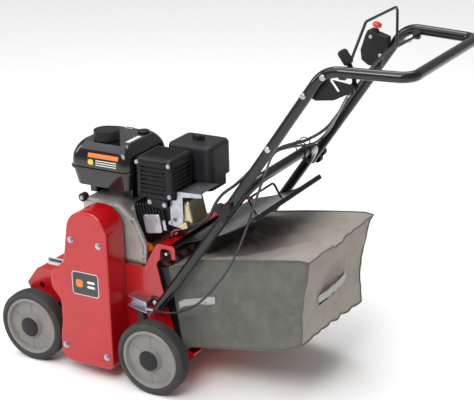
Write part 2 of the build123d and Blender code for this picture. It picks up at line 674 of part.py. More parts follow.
# ---------------------------------------------------------------- grass bag
BAG_HALF, CLOTH = 197.0, 2.0


def bag_profile(inset=0.0):
    Polyline((-82 + inset, 322 - inset), (-64 + inset, 198), (-45 + inset, 94 + inset),
             (-27 + inset, 110 + inset), (255 - inset, 158 + inset), (301 - inset, 182 + inset),
             (294 - inset, 266), (320 - inset, 408 - inset), (294, 409 - inset), (13, 360 - inset),
             close=True)


with BuildPart() as grass_bag:
    with BuildSketch(side_plane(BAG_HALF)):
        with BuildLine():
            bag_profile()
        make_face()
    extrude(amount=2 * BAG_HALF)
    with BuildSketch(side_plane(BAG_HALF - CLOTH)):
        with BuildLine():
            Polyline((-110, 322 - CLOTH), (-110, 198), (-60, 96 + CLOTH), (-27, 110 + CLOTH),
                     (254, 158 + CLOTH), (301 - CLOTH, 184), (294 - CLOTH, 266), (320 - CLOTH, 408 - CLOTH),
                     (294, 409 - CLOTH), (13, 360 - CLOTH), (-82, 322 - CLOTH), close=True)
        make_face()
    extrude(amount=2 * (BAG_HALF - CLOTH), mode=Mode.SUBTRACT)
grass_bag.part.label = "grass_bag"
export_step(grass_bag.part, "parts/grass_bag.step")

with BuildPart() as bag_frame:
    for side in (-1, 1):
        with BuildSketch(side_plane(side * BAG_HALF)):
            with BuildLine():
                Polyline((-115, 318), (-82.4, 322), (-64.4, 198), (-45.4, 94), (-78, 94), (-98, 198),
                         close=True)
            make_face()
        extrude(amount=side * 3)
    for x, z in ((-92, 313), (-56, 100)):
        with BuildSketch(side_plane(BAG_HALF - 2, x, z)):
            Circle(5.0)
        extrude(amount=2 * (BAG_HALF - 2))
bag_frame.part.label = "bag_frame"
export_step(bag_frame.part, "parts/bag_frame.step")

# ---------------------------------------------------------------- engine
BLOCK_Y0, BLOCK_Y1 = -186.0, -34.0
BED = ENGINE_BED_Z
TILT = 12.7
BARREL_Y, FIN_HALF, FIN_Y_HALF = -120.0, 44.0, 55.0
barrel = Plane(origin=(CRANK_X, BARREL_Y, CRANK_Z), x_dir=(0, 1, 0),
               z_dir=(cos(radians(TILT)), 0, sin(radians(TILT))))


dip_plane = Plane(origin=(-166, -172, 351), z_dir=(0.7, 0, 0.714))


def crankcase_outline(rear_x=-152):
    rounded_outline((-345, BED + 12, 4), (-345, 476, 18), (-231, 476, 22), (rear_x - 28, 431, 20),
                    (rear_x, 368, 12), (rear_x - 4, BED + 12, 4))


with BuildPart() as cylinder_block:
    with BuildSketch(side_plane(BLOCK_Y1)):
        with BuildLine():
            crankcase_outline(-178)
        make_face()
    extrude(amount=BLOCK_Y1 - BLOCK_Y0)
    with BuildSketch(Plane(origin=(-271, -110, BED))):
        RectangleRounded(198, 158, 12)
    extrude(amount=12)
    with BuildSketch(side_plane(BLOCK_Y1 - 8, CRANK_X, CRANK_Z)):
        Circle(56.0)
    extrude(amount=BLOCK_Y1 - BLOCK_Y0 - 8, mode=Mode.SUBTRACT)
    with BuildSketch(side_plane(0, CRANK_X, CRANK_Z)):
        Circle(10.0 + FIT)
    extrude(amount=60, mode=Mode.SUBTRACT)
    with BuildSketch(barrel.offset(60)):
        RectangleRounded(84, 66, 14)
    extrude(amount=154)
    for n in range(10):
        with BuildSketch(barrel.offset(84 + 9 * n)):
            RectangleRounded(2 * FIN_Y_HALF, 2 * FIN_HALF, 10)
        extrude(amount=3)
    for n in range(4):
        with BuildSketch(barrel.offset(176 + 9 * n)):
            RectangleRounded(80, 2 * FIN_HALF - 8, 10)
        extrude(amount=4)
    with BuildSketch(barrel.offset(50)):
        Circle(29.0)
    extrude(amount=130, mode=Mode.SUBTRACT)
    for x, y in BED_BOLTS:
        with BuildSketch(Plane(origin=(x, y, BED + 12))):
            Circle(9.0)
        extrude(amount=60, mode=Mode.SUBTRACT)
        with BuildSketch(Plane(origin=(x, y, BED))):
            Circle(4.2)
        extrude(amount=14, mode=Mode.SUBTRACT)
    with BuildSketch(dip_plane.offset(-14)):
        Circle(11.0)
    extrude(amount=13.6)
    with BuildSketch(dip_plane.offset(-44)):
        Circle(8.0 + FIT)
    extrude(amount=50, mode=Mode.SUBTRACT)
cylinder_block.part.label = "cylinder_block"
export_step(cylinder_block.part, "parts/cylinder_block.step")

with BuildPart() as crankcase_cover:
    with BuildSketch(side_plane(BLOCK_Y0)):
        with BuildLine():
            crankcase_outline()
        make_face()
    extrude(amount=9)
    with BuildSketch(side_plane(BLOCK_Y0 - 9)):
        with BuildLine():
            crankcase_outline()
        make_face()
        offset(amount=-9)
    extrude(amount=5)
    with BuildSketch(side_plane(BLOCK_Y0 - 14, CRANK_X, CRANK_Z)):
        Circle(20.0)
    extrude(amount=6)
    with BuildSketch(side_plane(0, CRANK_X, CRANK_Z)):
        Circle(10.0 + FIT)
    extrude(amount=240, mode=Mode.SUBTRACT)
    with BuildSketch(side_plane(-205, -341, 476)):
        Circle(9.0)
    extrude(amount=-19)
crankcase_cover.part.label = "crankcase_cover"
export_step(crankcase_cover.part, "parts/crankcase_cover.step")

with BuildPart() as valve_cover:
    with BuildSketch(barrel.offset(214)):
        RectangleRounded(76, 66, 12)
    extrude(amount=28)
    fillet(valve_cover.faces().sort_by(Axis.X)[-1].edges(), 7)
    with BuildSketch(barrel.offset(214)):
        RectangleRounded(84, 74, 10)
    extrude(amount=4)
valve_cover.part.label = "valve_cover"
export_step(valve_cover.part, "parts/valve_cover.step")

DEFLECTOR_Y = -163.0
with BuildPart() as heat_deflector:
    with BuildSketch(side_plane(DEFLECTOR_Y)):
        with BuildLine():
            rounded_outline((-93, 426, 4), (-56, 422, 4), (-56, 508, 3), (2, 514, 3), (2, 524, 6),
                            (-71, 521, 4), (-72, 497, 3), (-93, 494, 3))
        make_face()
    extrude(amount=1.5)
    with BuildSketch(side_plane(DEFLECTOR_Y)):
        with BuildLine():
            Polyline((-66, 519.6), (-4, 522.1), (-4, 520.6), (-66, 518.1), close=True)
        make_face()
    extrude(amount=-94)
heat_deflector.part.label = "heat_deflector"
export_step(heat_deflector.part, "parts/heat_deflector.step")

GUARD_X0, GUARD_X1, GUARD_Z0, GUARD_Z1 = -187.0, -74.0, 500.0, 606.0
GUARD_Y0, GUARD_Y1 = -183.0, -70.0
SLATS = 7
with BuildPart() as muffler_guard:
    with BuildSketch(Plane(origin=((GUARD_X0 + GUARD_X1) / 2, (GUARD_Y0 + GUARD_Y1) / 2, GUARD_Z0))):
        RectangleRounded(GUARD_X1 - GUARD_X0, GUARD_Y1 - GUARD_Y0, 16)
    extrude(amount=GUARD_Z1 - GUARD_Z0)
    fillet(muffler_guard.faces().sort_by(Axis.Z)[-1].edges(), 14)
    offset(amount=-1.6, openings=muffler_guard.faces().sort_by(Axis.Z)[0])
    with BuildSketch(side_plane(GUARD_Y0 + 4)):
        with Locations(*[((GUARD_X0 + GUARD_X1) / 2, GUARD_Z0 + 13 + 11.5 * n) for n in range(SLATS)]):
            RectangleRounded(76, 4.6, 2)
    extrude(amount=20, mode=Mode.SUBTRACT)
    with BuildSketch(Plane(origin=(GUARD_X1 - 6, 0, 0), x_dir=(0, 1, 0), z_dir=(1, 0, 0))):
        with Locations(*[((GUARD_Y0 + GUARD_Y1) / 2, GUARD_Z0 + 13 + 11.5 * n) for n in range(SLATS)]):
            RectangleRounded(76, 4.6, 2)
    extrude(amount=20, mode=Mode.SUBTRACT)
muffler_guard.part.label = "muffler_guard"
export_step(muffler_guard.part, "parts/muffler_guard.step")

with BuildPart() as muffler:
    with BuildSketch(Plane(origin=((GUARD_X0 + GUARD_X1) / 2, (GUARD_Y0 + GUARD_Y1) / 2, GUARD_Z0 + 6))):
        RectangleRounded(92, 92, 22)
    extrude(amount=84)
    fillet(muffler.faces().sort_by(Axis.Z)[-1].edges(), 10)
    with BuildSketch(Plane(origin=(-90, -122, 497))):
        Circle(12.0)
    extrude(amount=12)
    with BuildSketch(Plane(origin=(GUARD_X1 - 14, -122, 560), z_dir=(1, 0, 0))):
        Circle(9.0)
    extrude(amount=10)
muffler.part.label = "muffler"
export_step(muffler.part, "parts/muffler.step")

TANK_X0, TANK_X1, TANK_Y0, TANK_Y1, LIP_Z = -382.0, -190.0, -203.0, 0.0, 558.0
TANK_CX, TANK_CY = (TANK_X0 + TANK_X1) / 2, (TANK_Y0 + TANK_Y1) / 2
CAP_X, CAP_Y = -296.0, -140.0
with BuildPart() as fuel_tank:
    for inset, mode in ((0.0, Mode.ADD), (2.5, Mode.SUBTRACT)):
        with BuildSketch(Plane(origin=(TANK_CX, TANK_CY, 509 + inset))):
            RectangleRounded(TANK_X1 - TANK_X0 - 24 - 2 * inset, TANK_Y1 - TANK_Y0 - 24 - 2 * inset, 24)
        with BuildSketch(Plane(origin=(TANK_CX, TANK_CY, LIP_Z - 2))):
            RectangleRounded(TANK_X1 - TANK_X0 - 8 - 2 * inset, TANK_Y1 - TANK_Y0 - 8 - 2 * inset, 24)
        loft(mode=mode)
        with BuildSketch(Plane(origin=(TANK_CX, TANK_CY, LIP_Z - 2.01))):
            RectangleRounded(TANK_X1 - TANK_X0 - 8 - 2 * inset, TANK_Y1 - TANK_Y0 - 8 - 2 * inset, 24)
        with BuildSketch(Plane(origin=(TANK_CX, TANK_CY, 600 - inset))):
            RectangleRounded(TANK_X1 - TANK_X0 - 18 - 2 * inset, TANK_Y1 - TANK_Y0 - 18 - 2 * inset, 24)
        with BuildSketch(Plane(origin=(TANK_CX, TANK_CY, 624 - inset))):
            RectangleRounded(TANK_X1 - TANK_X0 - 54 - 2 * inset, TANK_Y1 - TANK_Y0 - 54 - 2 * inset, 20)
        loft(mode=mode)
    with BuildSketch(Plane(origin=(TANK_CX, TANK_CY, LIP_Z - 3))):
        RectangleRounded(TANK_X1 - TANK_X0, TANK_Y1 - TANK_Y0, 26)
        RectangleRounded(TANK_X1 - TANK_X0 - 12, TANK_Y1 - TANK_Y0 - 12, 22, mode=Mode.SUBTRACT)
    extrude(amount=5)
    with BuildSketch(Plane(origin=(CAP_X, CAP_Y, 618))):
        Circle(26.0)
    extrude(amount=16)
    with BuildSketch(Plane(origin=(CAP_X, CAP_Y, 600))):
        Circle(23.0)
    extrude(amount=40, mode=Mode.SUBTRACT)
    for x in (TANK_X0 + 40, TANK_X1 - 40):
        with BuildSketch(Plane(origin=(x, BARREL_Y, 476))):
            RectangleRounded(24, 60, 5)
        extrude(amount=35)
fuel_tank.part.label = "fuel_tank"
export_step(fuel_tank.part, "parts/fuel_tank.step")

with BuildPart() as fuel_cap:
    with BuildSketch(Plane(origin=(CAP_X, CAP_Y, 627))):
        Circle(34.0)
        with PolarLocations(34.5, 24):
            Circle(1.6, mode=Mode.SUBTRACT)
    extrude(amount=24)
    cap_rings = fuel_cap.faces().sort_by(Axis.Z)[-1].edges().filter_by(GeomType.CIRCLE)
    fillet(cap_rings.sort_by(SortBy.RADIUS)[-1], 1)
    with BuildSketch(Plane(origin=(CAP_X, CAP_Y, 620))):
        Circle(26.0 + GAP)
    extrude(amount=15, mode=Mode.SUBTRACT)
fuel_cap.part.label = "fuel_cap"
export_step(fuel_cap.part, "parts/fuel_cap.step")

AIR_X, AIR_Y = -97.0, -8.0
with BuildPart() as air_cleaner:
    with BuildSketch(Plane(origin=(AIR_X, AIR_Y, 520))):
        RectangleRounded(134, 112, 20)
    extrude(amount=92)
    fillet(air_cleaner.faces().sort_by(Axis.Z)[-1].edges(), 12)
    with BuildSketch(Plane(origin=(AIR_X + 4, AIR_Y, 489))):
        RectangleRounded(112, 88, 14)
    extrude(amount=31)
    with BuildSketch(Plane(origin=(AIR_X, AIR_Y, 612))):
        Circle(4.0)
    extrude(amount=12)
air_cleaner.part.label = "air_cleaner"
export_step(air_cleaner.part, "parts/air_cleaner.step")

with BuildPart() as air_knob:
    with BuildSketch(Plane(origin=(AIR_X, AIR_Y, 612 + GAP))):
        Circle(9.0)
        Rectangle(34, 7)
        Circle(4.0 + FIT, mode=Mode.SUBTRACT)
    extrude(amount=11)
air_knob.part.label = "air_knob"
export_step(air_knob.part, "parts/air_knob.step")

with BuildPart() as carburettor:
    with BuildSketch(Plane(origin=(-92, -46, 440))):
        RectangleRounded(40, 22, 5)
    extrude(amount=49)
    with BuildSketch(Plane(origin=(-92, -46, 416))):
        Circle(10.5)
    extrude(amount=25)
    with BuildSketch(side_plane(-57, -92, 464)):
        Circle(11.0)
    extrude(amount=21)
    with BuildSketch(side_plane(-35, -92, 452)):
        Circle(3.0)
    extrude(amount=-12)
carburettor.part.label = "carburettor"
export_step(carburettor.part, "parts/carburettor.step")


with BuildPart() as throttle_lever:
    with BuildSketch(side_plane(-26)):
        with Locations((-92, 452)):
            Circle(6.0)
        with Locations((-126, 452)):
            Circle(4.0)
        make_hull()
        with Locations((-92, 452)):
            Circle(3.0 + FIT, mode=Mode.SUBTRACT)
    extrude(amount=2)
throttle_lever.part.label = "throttle_lever"
export_step(throttle_lever.part, "parts/throttle_lever.step")

with BuildPart() as recoil_shroud:
    with BuildSketch(side_plane(52, CRANK_X, CRANK_Z)):
        Circle(91.0)
    extrude(amount=86)
    fillet(recoil_shroud.faces().sort_by(Axis.Y)[-1].edges(), 2)
    with BuildSketch(side_plane(50, CRANK_X, CRANK_Z)):
        Circle(88.5)
    extrude(amount=90, mode=Mode.SUBTRACT)
    with BuildSketch(side_plane(60, CRANK_X, CRANK_Z)):
        with PolarLocations(58, 20):
            SlotOverall(30, 6, mode=Mode.ADD)
    extrude(amount=16, mode=Mode.SUBTRACT)
    with BuildSketch(Plane(origin=(CRANK_X - 88, 34, CRANK_Z + 16), z_dir=(-1, 0, 0))):
        Circle(9.0)
    extrude(amount=12)
    with BuildSketch(Plane(origin=(CRANK_X - 80, 34, CRANK_Z + 16), z_dir=(-1, 0, 0))):
        Circle(4.4)
    extrude(amount=30, mode=Mode.SUBTRACT)
recoil_shroud.part.label = "recoil_shroud"
export_step(recoil_shroud.part, "parts/recoil_shroud.step")

with BuildPart() as recoil_grip:
    with BuildSketch(Plane(origin=(CRANK_X - 101, 34, CRANK_Z + 16), z_dir=(-1, 0, 0))):
        SlotOverall(72, 18)
    extrude(amount=22)
    fillet(recoil_grip.edges(), 3)
    with BuildSketch(Plane(origin=(CRANK_X - 86, 34, CRANK_Z + 16), z_dir=(-1, 0, 0))):
        Circle(2.5)
    extrude(amount=20)
recoil_grip.part.label = "recoil_grip"
export_step(recoil_grip.part, "parts/recoil_grip.step")

with BuildPart() as dipstick:
    with BuildSketch(dip_plane):
        Circle(12.0)
        with PolarLocations(12.4, 12):
            Circle(1.2, mode=Mode.SUBTRACT)
    extrude(amount=12)
    with BuildSketch(dip_plane.offset(-15)):
        Circle(8.0)
    extrude(amount=16)
    with BuildSketch(dip_plane.offset(-42)):
        Circle(3.0)
    extrude(amount=26)
dipstick.part.label = "dipstick"
export_step(dipstick.part, "parts/dipstick.step")

# ---------------------------------------------------------------- control cables
DEPTH_CABLE_R, CLUTCH_CABLE_R = 3.0, 4.0

with BuildPart() as depth_cable:
    with BuildLine() as depth_route:
        Spline((428, -205, 846), (408, -178, 826), (366, -110, 786), (254, 60, 673), (186, 150, 612),
               (173, 116, 601), (160, 20, 618), (160, -70, 627), (178, -150, 602), (177, -195, 552),
               (169, -226, 493), (124, -228, 388), (69, -232, 306), (8, -232, 245), (-60, -229, 212),
               (-118, -226, 206), tangents=((-0.55, 0.3, -0.78), (-1, 0, 0)))
    with BuildSketch(Plane(origin=depth_route.line @ 0, z_dir=depth_route.line % 0)):
        Circle(DEPTH_CABLE_R)
    sweep(path=depth_route.line)
depth_cable.part.label = "depth_cable"
export_step(depth_cable.part, "parts/depth_cable.step")

with BuildPart() as clutch_cable:
    with BuildLine() as clutch_route:
        Spline((408, 205, 880), (372, 190, 868), (320, 183, 815), (270, 188, 752), (215, 200, 676),
               (176, 188, 622), (148, 135, 603), (146, 60, 612), (150, -40, 626), (142, -128, 612),
               (111, -172, 574), (70, -174, 540), (46, -172, 509), (22, -165, 469), (-22, -155, 434),
               (-80, -142, 403), (-104, -136, 389.5))
    with BuildSketch(Plane(origin=clutch_route.line @ 0, z_dir=clutch_route.line % 0)):
        Circle(CLUTCH_CABLE_R)
    sweep(path=clutch_route.line)
clutch_cable.part.label = "clutch_cable"
export_step(clutch_cable.part, "parts/clutch_cable.step")
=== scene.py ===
import json
from math import cos, pi, radians, sin

import bmesh
import bpy
from mathutils import Matrix, Vector, noise

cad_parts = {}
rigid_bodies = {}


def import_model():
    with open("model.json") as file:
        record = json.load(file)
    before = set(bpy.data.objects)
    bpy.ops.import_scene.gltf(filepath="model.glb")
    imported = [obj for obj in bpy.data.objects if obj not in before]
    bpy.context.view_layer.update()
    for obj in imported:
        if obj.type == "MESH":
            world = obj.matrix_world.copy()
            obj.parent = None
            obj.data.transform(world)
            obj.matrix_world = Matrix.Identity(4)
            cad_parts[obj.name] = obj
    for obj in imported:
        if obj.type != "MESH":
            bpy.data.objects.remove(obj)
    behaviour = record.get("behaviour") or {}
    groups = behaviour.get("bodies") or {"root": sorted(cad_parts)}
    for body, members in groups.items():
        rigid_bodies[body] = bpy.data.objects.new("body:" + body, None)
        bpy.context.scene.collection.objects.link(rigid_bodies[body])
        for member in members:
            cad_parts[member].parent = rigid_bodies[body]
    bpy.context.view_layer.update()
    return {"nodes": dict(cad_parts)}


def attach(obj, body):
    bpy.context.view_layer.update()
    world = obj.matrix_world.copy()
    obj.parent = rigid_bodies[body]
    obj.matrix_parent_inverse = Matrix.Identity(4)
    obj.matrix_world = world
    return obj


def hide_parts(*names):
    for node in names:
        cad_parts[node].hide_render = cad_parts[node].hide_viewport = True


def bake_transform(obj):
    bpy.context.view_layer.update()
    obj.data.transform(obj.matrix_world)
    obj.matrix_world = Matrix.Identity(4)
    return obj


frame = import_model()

NODES = frame["nodes"]
MM = 0.001


# ---------------------------------------------------------------- materials
class Paint:
    """A procedural surface, built up from one Principled shader in object coordinates."""

    def __init__(self, name, colour, second=None, patch=14.0, rough=(0.3, 0.45), metal=0.0, coat=0.0,
                 grain=600.0, depth=0.00003, stretch=(1, 1, 1), sheen=0.0, specular=0.5):
        self.mat = bpy.data.materials.new(name)
        self.mat.use_nodes = True
        self.tree = self.mat.node_tree
        self.bsdf = self.tree.nodes["Principled BSDF"]
        self.place = self.node("ShaderNodeTexCoord").outputs["Object"]
        mapping = self.node("ShaderNodeMapping")
        mapping.inputs["Scale"].default_value = stretch
        self.join(self.place, mapping.inputs["Vector"])
        self.grain_place = mapping.outputs["Vector"]
        second = second or tuple(c * 0.82 for c in colour)
        cloud = self.cloud(patch, 5.0)
        self.colour = self.mix(self.span(cloud, 0.38, 0.64, 0, 1), colour, second)
        self.join(self.colour, self.bsdf.inputs["Base Color"])
        smear = self.cloud(patch * 4.3, 6.0)
        self.join(self.span(smear, 0.3, 0.7, *rough), self.bsdf.inputs["Roughness"])
        self.height = self.cloud(grain, 3.0, self.grain_place)
        if depth:
            self.bump(self.height, depth)
        self.bsdf.inputs["Metallic"].default_value = metal
        self.bsdf.inputs["Coat Weight"].default_value = coat
        self.bsdf.inputs["Coat Roughness"].default_value = 0.06
        self.bsdf.inputs["Sheen Weight"].default_value = sheen
        self.bsdf.inputs["Specular IOR Level"].default_value = specular

    def node(self, kind):
        return self.tree.nodes.new(kind)

    def join(self, a, b):
        self.tree.links.new(a, b)

    def cloud(self, scale, detail, place=None):
        n = self.node("ShaderNodeTexNoise")
        n.inputs["Scale"].default_value = scale
        n.inputs["Detail"].default_value = detail
        self.join(place or self.place, n.inputs["Vector"])
        return n.outputs["Fac"]

    def span(self, value, a, b, c, d):
        n = self.node("ShaderNodeMapRange")
        for key, number in zip(("From Min", "From Max", "To Min", "To Max"), (a, b, c, d)):
            n.inputs[key].default_value = number
        self.join(value, n.inputs["Value"])
        return n.outputs["Result"]

    def mix(self, fac, a, b):
        n = self.node("ShaderNodeMix")
        n.data_type = "RGBA"
        self.join(fac, n.inputs[0])
        for socket, colour in ((n.inputs[6], a), (n.inputs[7], b)):
            if isinstance(colour, tuple):
                socket.default_value = (*colour, 1)
            else:
                self.join(colour, socket)
        return n.outputs[2]

    def math(self, how, a, b):
        n = self.node("ShaderNodeMath")
        n.operation = how
        for socket, value in zip(n.inputs, (a, b)):
            if isinstance(value, (int, float)):
                socket.default_value = value
            else:
                self.join(value, socket)
        return n.outputs[0]

    def along(self, direction, origin=(0, 0, 0)):
        """Distance of a surface point from origin along a direction of the object."""
        n = self.node("ShaderNodeVectorMath")
        n.operation = "SUBTRACT"
        n.inputs[1].default_value = origin
        self.join(self.place, n.inputs[0])
        dot = self.node("ShaderNodeVectorMath")
        dot.operation = "DOT_PRODUCT"
        dot.inputs[1].default_value = direction
        self.join(n.outputs[0], dot.inputs[0])
        return dot.outputs["Value"]

    def threads(self, direction, pitch):
        """Height of round threads that lie across a direction, at their real pitch."""
        wave = self.math("SINE", self.math("MULTIPLY", self.along(direction), 2 * pi / pitch), 0)
        return self.math("ABSOLUTE", wave, 0)

    def bump(self, height, depth):
        n = self.node("ShaderNodeBump")
        n.inputs["Distance"].default_value = depth
        n.inputs["Strength"].default_value = 1.0
        self.join(height, n.inputs["Height"])
        self.join(n.outputs["Normal"], self.bsdf.inputs["Normal"])

    def two_tone(self, fac, colour):
        """A second colour over the base colour where fac is 1."""
        self.colour = self.mix(fac, self.colour, colour)
        self.join(self.colour, self.bsdf.inputs["Base Color"])

    def dust(self, colour, low, high, amount):
        """Dry dust in patches over the base colour."""
        self.two_tone(self.span(self.cloud(38.0, 8.0), low, high, 0, amount), colour)


red = Paint("powder_red", (0.44, 0.003, 0.006), (0.39, 0.003, 0.005), rough=(0.22, 0.27), coat=0.4,
            grain=420, depth=0.000018)
orange_red = Paint("powder_orange_red", (0.76, 0.035, 0.010), (0.66, 0.025, 0.010),
                   rough=(0.24, 0.36), coat=0.5, grain=420, depth=0.000018)
tube_black = Paint("tube_enamel", (0.005, 0.005, 0.006), (0.009, 0.009, 0.010),
                   rough=(0.14, 0.24), coat=0.6, grain=300, specular=0.22)
sheet_black = Paint("sheet_enamel", (0.007, 0.007, 0.008), (0.012, 0.012, 0.013),
                    rough=(0.30, 0.42), coat=0.12, grain=350, depth=0.000015, specular=0.2)
tank_black = Paint("tank_enamel", (0.005, 0.005, 0.006), (0.008, 0.008, 0.009),
                   rough=(0.10, 0.18), coat=0.8, grain=160, specular=0.22)
rubber = Paint("tyre_rubber", (0.022, 0.022, 0.023), (0.032, 0.031, 0.030), rough=(0.62, 0.82), grain=900,
               depth=0.00012)
rubber.dust((0.085, 0.080, 0.072), 0.55, 0.75, 0.35)
rim_grey = Paint("rim_plastic", (0.215, 0.200, 0.188), (0.185, 0.172, 0.162), rough=(0.36, 0.5),
                 grain=1400)
zinc = Paint("zinc_plate", (0.50, 0.53, 0.58), (0.40, 0.42, 0.46), patch=60, rough=(0.26, 0.44),
             metal=1.0, grain=900, stretch=(1, 1, 0.2))
steel = Paint("bright_steel", (0.55, 0.55, 0.56), (0.44, 0.44, 0.45), patch=40, rough=(0.2, 0.36),
              metal=1.0, grain=1200, depth=0.00002, stretch=(0.1, 1, 1))
dark_steel = Paint("dark_steel", (0.075, 0.073, 0.070), (0.12, 0.10, 0.085), patch=30, rough=(0.45, 0.7),
                   metal=0.8, grain=500, depth=0.0001)
casting = Paint("aluminium_casting", (0.50, 0.485, 0.46), (0.42, 0.41, 0.39), patch=26, rough=(0.45, 0.62),
                metal=0.65, grain=700, depth=0.00022)
chromate = Paint("yellow_chromate", (0.60, 0.49, 0.24), (0.44, 0.47, 0.40), patch=30, rough=(0.28, 0.44),
                 metal=0.9, grain=800, depth=0.00004)
plastic = Paint("black_plastic", (0.012, 0.012, 0.013), (0.018, 0.018, 0.019), rough=(0.36, 0.5),
                grain=1500, depth=0.00009, specular=0.22)
charcoal = Paint("cleaner_plastic", (0.020, 0.020, 0.023), (0.015, 0.015, 0.017),
                 rough=(0.34, 0.46), grain=1300, depth=0.00010, specular=0.22)
orange = Paint("orange_plastic", (0.86, 0.19, 0.012), (0.78, 0.16, 0.012), rough=(0.3, 0.42), grain=900,
               depth=0.00004)
button_red = Paint("red_plastic", (0.62, 0.012, 0.012), (0.54, 0.010, 0.010), rough=(0.2, 0.3),
                   coat=0.5, grain=500)
belt_rubber = Paint("belt_rubber", (0.030, 0.029, 0.028), (0.05, 0.047, 0.043), rough=(0.7, 0.9), grain=1100,
                    depth=0.00015)
sheath = Paint("cable_sheath", (0.013, 0.013, 0.014), (0.020, 0.020, 0.020), rough=(0.3, 0.42),
               coat=0.25, grain=700)

# The barrel's root is black paint, and its head is bare metal past this distance from the crankshaft.
BARREL_TILT = radians(12.7)
BARREL_AXIS = (cos(BARREL_TILT), 0, sin(BARREL_TILT))
CRANK_CENTRE = (-0.272, -0.12, 0.412)
PAINT_EDGE = (0.074, 0.077)
block = Paint("block_casting", (0.40, 0.375, 0.35), (0.33, 0.31, 0.29), patch=26, rough=(0.42, 0.6),
              metal=0.5, grain=700, depth=0.00022)
painted = block.span(block.along(BARREL_AXIS, CRANK_CENTRE), *PAINT_EDGE, 0, 1)
block.two_tone(painted, (0.009, 0.009, 0.010))
bare = block.math("SUBTRACT", 0.5, block.math("MULTIPLY", painted, 0.5))
block.join(bare, block.bsdf.inputs["Metallic"])

CLOTH_PITCH, NET_PITCH = 0.0016, 0.0030
taupe = Paint("bag_cloth", (0.37, 0.325, 0.28), (0.31, 0.272, 0.234), patch=9, rough=(0.72, 0.86),
              sheen=0.25, grain=300, depth=0, specular=0.3)
weave = taupe.math("MULTIPLY", *(taupe.threads(way, CLOTH_PITCH) for way in ((1, 0, 0.17), (0, 1, 0))))
taupe.bump(taupe.math("ADD", weave, taupe.math("MULTIPLY", taupe.height, 1.6)), 0.00035)
taupe.dust((0.43, 0.385, 0.34), 0.5, 0.78, 0.4)
mesh_cloth = Paint("bag_mesh", (0.138, 0.143, 0.120), (0.112, 0.117, 0.099), patch=11,
                   rough=(0.66, 0.82), sheen=0.2, grain=240, depth=0, specular=0.3)
net = mesh_cloth.math("MULTIPLY", *(mesh_cloth.threads(way, NET_PITCH) for way in ((1, 0, 0), (0, 0, 1))))
# Painted shade: the net is darker along the grooves between its threads, where the thread height is low.
mesh_cloth.two_tone(mesh_cloth.span(net, 0.02, 0.30, 0.6, 0), (0.045, 0.045, 0.040))
mesh_cloth.bump(mesh_cloth.math("ADD", net, mesh_cloth.math("MULTIPLY", mesh_cloth.height, 0.8)), 0.0006)
mesh_cloth.dust((0.19, 0.195, 0.172), 0.48, 0.74, 0.4)
piping = Paint("bag_piping", (0.105, 0.095, 0.082), (0.085, 0.077, 0.068), rough=(0.7, 0.85),
               grain=1200, depth=0.0003, sheen=0.2)
webbing = Paint("bag_webbing", (0.46, 0.46, 0.45), (0.38, 0.38, 0.37), rough=(0.6, 0.8), grain=900,
                depth=0.0003, stretch=(1, 0.2, 1), sheen=0.2)
# Painted shade: a near-black, matte colour for the hand slit on the bag's rear panel.
slit_shade = Paint("bag_slit_shade", (0.012, 0.012, 0.012), rough=(0.8, 0.95), depth=0.0002)
label_black = Paint("label_black", (0.016, 0.016, 0.017), rough=(0.25, 0.35), coat=0.4, grain=300,
                    depth=0.00002)
label_silver = Paint("label_silver", (0.55, 0.56, 0.58), (0.48, 0.49, 0.51), rough=(0.25, 0.35),
                     metal=0.4, grain=500, depth=0.00002)
label_white = Paint("label_white", (0.72, 0.72, 0.71), (0.64, 0.64, 0.63), rough=(0.35, 0.5),
                    grain=500, depth=0.00002)
label_orange = Paint("label_orange", (0.78, 0.20, 0.03), (0.72, 0.17, 0.03), rough=(0.3, 0.4),
                     grain=500, depth=0.00002)
label_yellow = Paint("label_yellow", (0.75, 0.52, 0.06), (0.68, 0.47, 0.06), rough=(0.3, 0.4),
                     grain=500, depth=0.00002)
floor_pale = Paint("pale_floor", (0.93, 0.93, 0.93), (0.92, 0.92, 0.92), rough=(0.7, 0.8), grain=80,
                   depth=0.0002)

FINISH = {
    red: ("deck_housing", "side_plate_left", "side_plate_right", "belt_cover"),
    orange_red: ("rear_skirt",),
    tube_black: ("lower_handle", "upper_handlebar", "front_axle", "control_bail", "flap_handle"),
    sheet_black: ("discharge_flap", "muffler_guard", "recoil_shroud", "quadrant_plate", "bag_frame"),
    tank_black: ("fuel_tank",),
    rubber: ("tyre_front_left", "tyre_front_right", "tyre_rear_left", "tyre_rear_right"),
    rim_grey: ("rim_front_left", "rim_front_right", "rim_rear_left", "rim_rear_right"),
    zinc: ("chassis_bolts", "rear_axle", "flap_hinge_rod", "depth_channel", "handlebar_bolts",
           "heat_deflector"),
    steel: ("rotor_shaft", "crankshaft"),
    dark_steel: ("belt_backplate", "rotor_knives", "muffler", "depth_arm", "depth_link", "tensioner_arm"),
    casting: ("crankcase_cover", "carburettor", "rotor_bearings", "engine_pulley"),
    block: ("cylinder_block",),
    chromate: ("valve_cover",),
    plastic: ("fuel_cap", "air_knob", "wing_knob_left", "wing_knob_right", "switch_box", "depth_lever",
              "recoil_grip", "idler_pulley", "throttle_lever"),
    charcoal: ("air_cleaner",),
    orange: ("dipstick",),
    button_red: ("stop_button",),
    belt_rubber: ("drive_belt",),
    sheath: ("depth_cable", "clutch_cable"),
    taupe: ("grass_bag",),
}
for paint, names in FINISH.items():
    for name in names:
        cad = NODES[name]
        for meshed in [cad] + list(cad.children_recursive):
            if meshed.type == "MESH":
                if not meshed.material_slots:
                    meshed.data.materials.append(paint.mat)
                for place in meshed.material_slots:
                    place.material = paint.mat


# ---------------------------------------------------------------- shape helpers
X_DIR, Y_DIR, Z_DIR = (1, 0, 0), (0, 1, 0), (0, 0, 1)
DROP = 0.03


